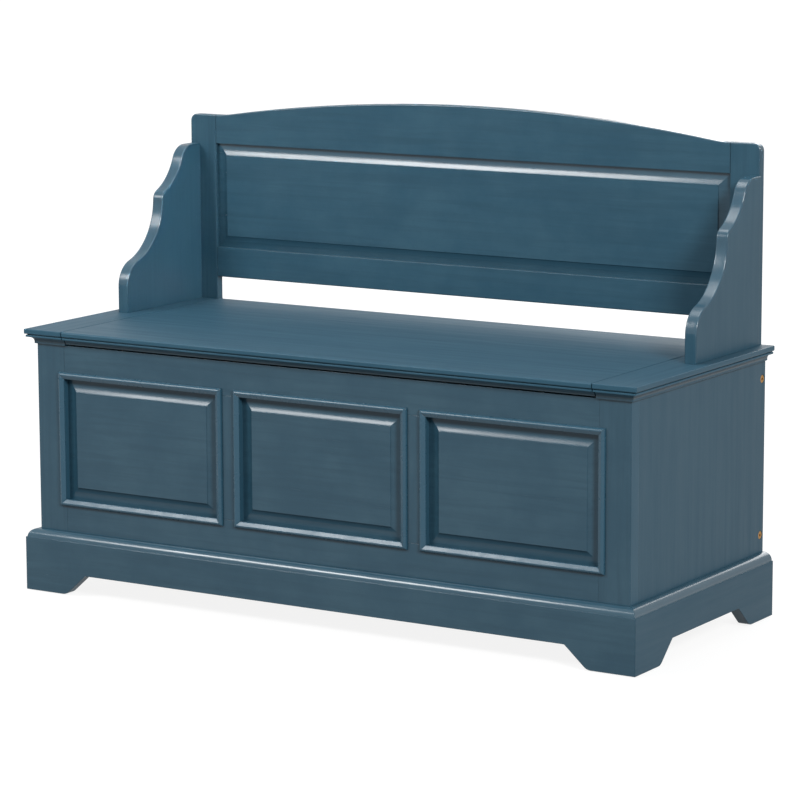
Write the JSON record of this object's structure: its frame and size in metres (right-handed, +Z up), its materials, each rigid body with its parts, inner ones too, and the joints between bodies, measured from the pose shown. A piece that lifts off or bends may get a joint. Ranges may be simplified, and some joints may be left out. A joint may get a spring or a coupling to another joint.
{
  "type": "storage bench",
  "caption": "Lift-lid storage bench with a panelled front, bracket-foot plinth, scalloped arms and an arched panelled back.",
  "frame": {"origin": "on the floor, under the middle of the bench's width and overall depth", "axes": "+X to the right of a person facing the front, along the bench; +Y to the rear; +Z up"},
  "size_m": [1.165, 0.477, 0.8109],
  "materials": {
    "paint": "satin",
    "bare_wood": "matte",
    "brass": "satin",
    "steel": "satin",
    "glide": "matte",
    "bumper": "matte"
  },
  "bodies": {
    "case": {"arm_left": "paint", "arm_right": "paint", "back_board": "paint", "backrest_lower_rail": "paint", "backrest_panel": "paint", "barrel_nuts": "steel", "case_bolts": "brass", "crest_rail": "paint", "dowels": "bare_wood", "floor_cleat_front": "bare_wood", "floor_cleat_left": "bare_wood", "floor_cleat_rear": "bare_wood", "floor_cleat_right": "bare_wood", "floor_panel": "bare_wood", "foot_block_front_left": "bare_wood", "foot_block_front_right": "bare_wood", "foot_block_rear_left": "bare_wood", "foot_block_rear_right": "bare_wood", "foot_glides": "glide", "front_bottom_rail": "paint", "front_moulding_left": "paint", "front_moulding_middle": "paint", "front_moulding_right": "paint", "front_muntin_left": "paint", "front_muntin_right": "paint", "front_panel_left": "paint", "front_panel_middle": "paint", "front_panel_right": "paint", "front_stile_left": "paint", "front_stile_right": "paint", "front_top_rail": "paint", "hinge_leaf_case_left": "steel", "hinge_leaf_case_right": "steel", "hinge_pins": "steel", "hinge_rail": "bare_wood", "hinge_screws_case": "steel", "plinth_front": "paint", "plinth_left": "paint", "plinth_right": "paint", "post_left": "paint", "post_right": "paint", "post_screws": "steel", "side_left": "paint", "side_right": "paint", "strip_cleat_left": "bare_wood", "strip_cleat_right": "bare_wood", "strip_cove_left": "paint", "strip_cove_right": "paint", "strip_left": "paint", "strip_right": "paint"},
    "lid": {"hinge_leaf_lid_left": "steel", "hinge_leaf_lid_right": "steel", "lid_batten_left": "bare_wood", "lid_batten_right": "bare_wood", "lid_board": "paint", "lid_bumpers": "bumper", "lid_cove": "paint", "hinge_screws_lid": "steel"}
  },
  "joints": [
    {"name": "lid_hinge", "type": "hinge", "parent": "case", "child": "lid", "pos_m": [0, 0.2335, 0.4323], "axis": [-1, 0, 0], "range_deg": [0, 61]}
  ]
}
